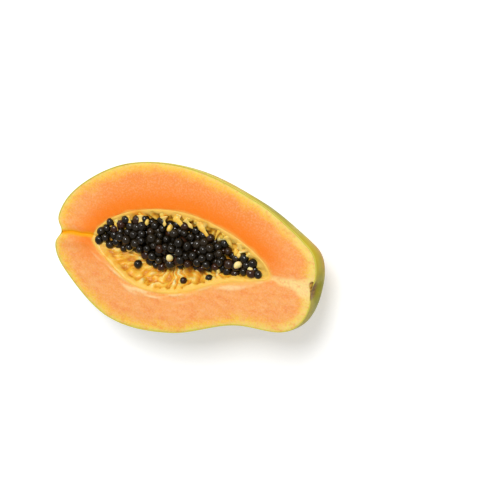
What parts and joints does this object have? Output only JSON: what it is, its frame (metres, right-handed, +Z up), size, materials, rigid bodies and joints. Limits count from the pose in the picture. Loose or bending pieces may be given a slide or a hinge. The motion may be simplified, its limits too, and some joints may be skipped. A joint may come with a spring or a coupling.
{
  "type": "papaya half",
  "caption": "Half of a ripe papaya cut lengthwise, lying cut face up: orange flesh in a thin skin, an open cavity lined with pale pulp, and a heap of dark seeds.",
  "frame": {"origin": "middle of the small flat spot on the belly that the half rests on", "axes": "+Z up, out of the level cut face; +X along the fruit towards the stem end; +Y across it, to the straighter side of the neck"},
  "size_m": [0.1646, 0.1001, 0.0528],
  "materials": {
    "flesh": "moist cut flesh, satin",
    "skin": "waxy skin, green to yellow",
    "pulp": "wet pale tissue in soft folds",
    "seed": "wet, glossy, almost black"
  },
  "bodies": {
    "root": {"fruit_half": "flesh", "pulp": "pulp", "seeds": "seed", "stray_seed_1": "seed", "stray_seed_2": "seed", "stray_seed_3": "seed"}
  },
  "joints": []
}
